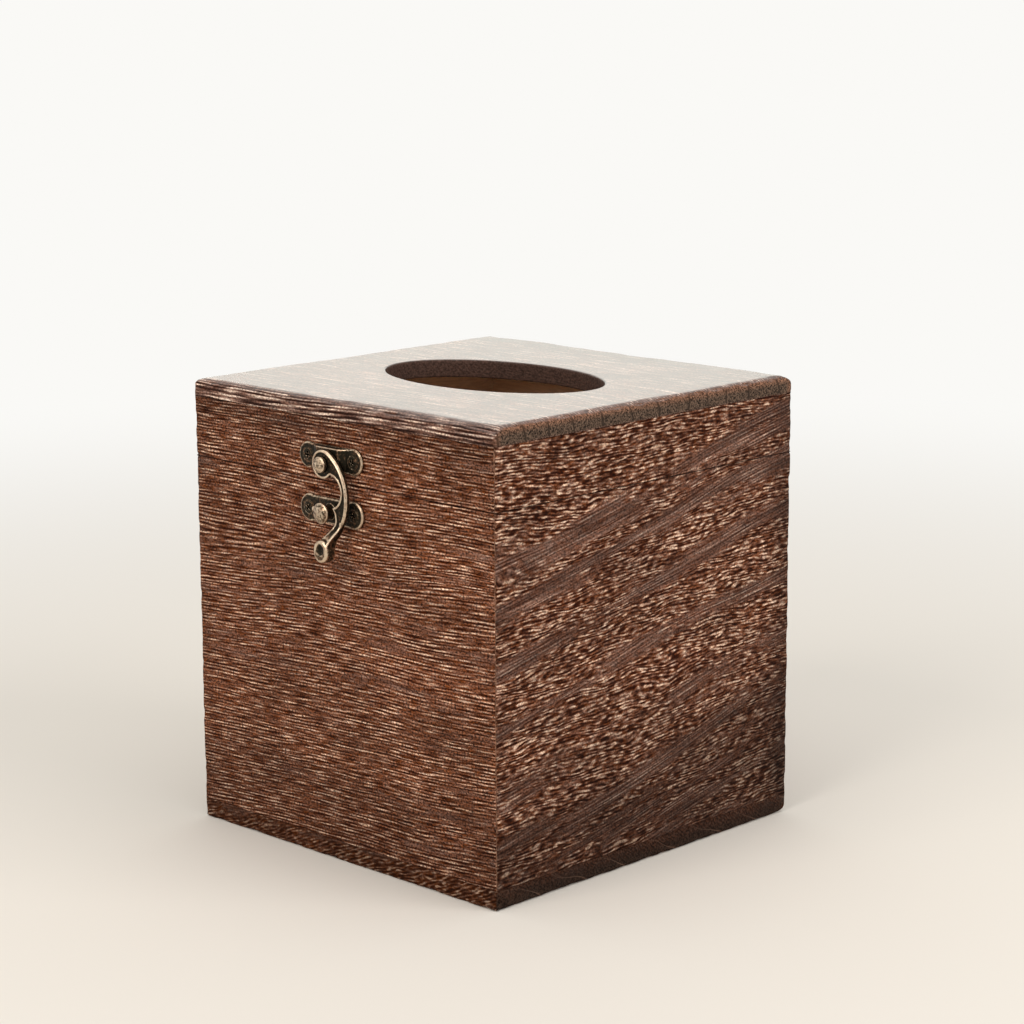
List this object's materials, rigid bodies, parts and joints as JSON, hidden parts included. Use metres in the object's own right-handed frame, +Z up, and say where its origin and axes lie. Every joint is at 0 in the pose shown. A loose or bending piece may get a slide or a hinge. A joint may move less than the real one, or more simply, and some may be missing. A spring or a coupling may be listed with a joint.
{
  "type": "tissue box cover",
  "caption": "Square wooden box that holds a tissue carton, with an oval slot in its hinged lid and a swing hook latch on the front.",
  "frame": {"origin": "centre of the underside of the box, on the surface that it stands on", "axes": "+Z up, +X to the right as seen from the front, -Y towards the viewer: the latch is on the -Y side and the hinges on the +Y side"},
  "size_m": [0.14, 0.1546, 0.151],
  "materials": {
    "dark_wood": "charred and brushed, satin",
    "antique_bronze": "antique bronze, dark in the hollows and worn pale on the edges"
  },
  "bodies": {
    "base": {"bottom_panel": "dark_wood", "base_front_wall": "dark_wood", "base_rear_wall": "dark_wood", "base_left_wall": "dark_wood", "base_right_wall": "dark_wood", "catch_plate": "antique_bronze", "catch_plate_screws": "antique_bronze", "hinge_left_base_leaf": "antique_bronze", "hinge_right_base_leaf": "antique_bronze", "hinge_left_pin": "antique_bronze", "hinge_right_pin": "antique_bronze", "hinge_base_screws": "antique_bronze"},
    "lid": {"top_panel": "dark_wood", "lid_front_wall": "dark_wood", "lid_rear_wall": "dark_wood", "lid_left_wall": "dark_wood", "lid_right_wall": "dark_wood", "latch_plate": "antique_bronze", "latch_plate_screws": "antique_bronze", "latch_rivet": "antique_bronze", "hinge_left_lid_leaf": "antique_bronze", "hinge_right_lid_leaf": "antique_bronze", "hinge_lid_screws": "antique_bronze"},
    "arm": {"latch_arm": "antique_bronze"}
  },
  "joints": [
    {"name": "lid_hinge", "type": "hinge", "parent": "base", "child": "lid", "pos_m": [0, 0.0722, 0.125], "axis": [-1, 0, 0], "range_deg": [0, 180]},
    {"name": "latch_swing", "type": "hinge", "parent": "lid", "child": "arm", "pos_m": [-0.0017, -0.0739, 0.1313], "axis": [0, -1, 0], "range_deg": [-10, 100]}
  ]
}
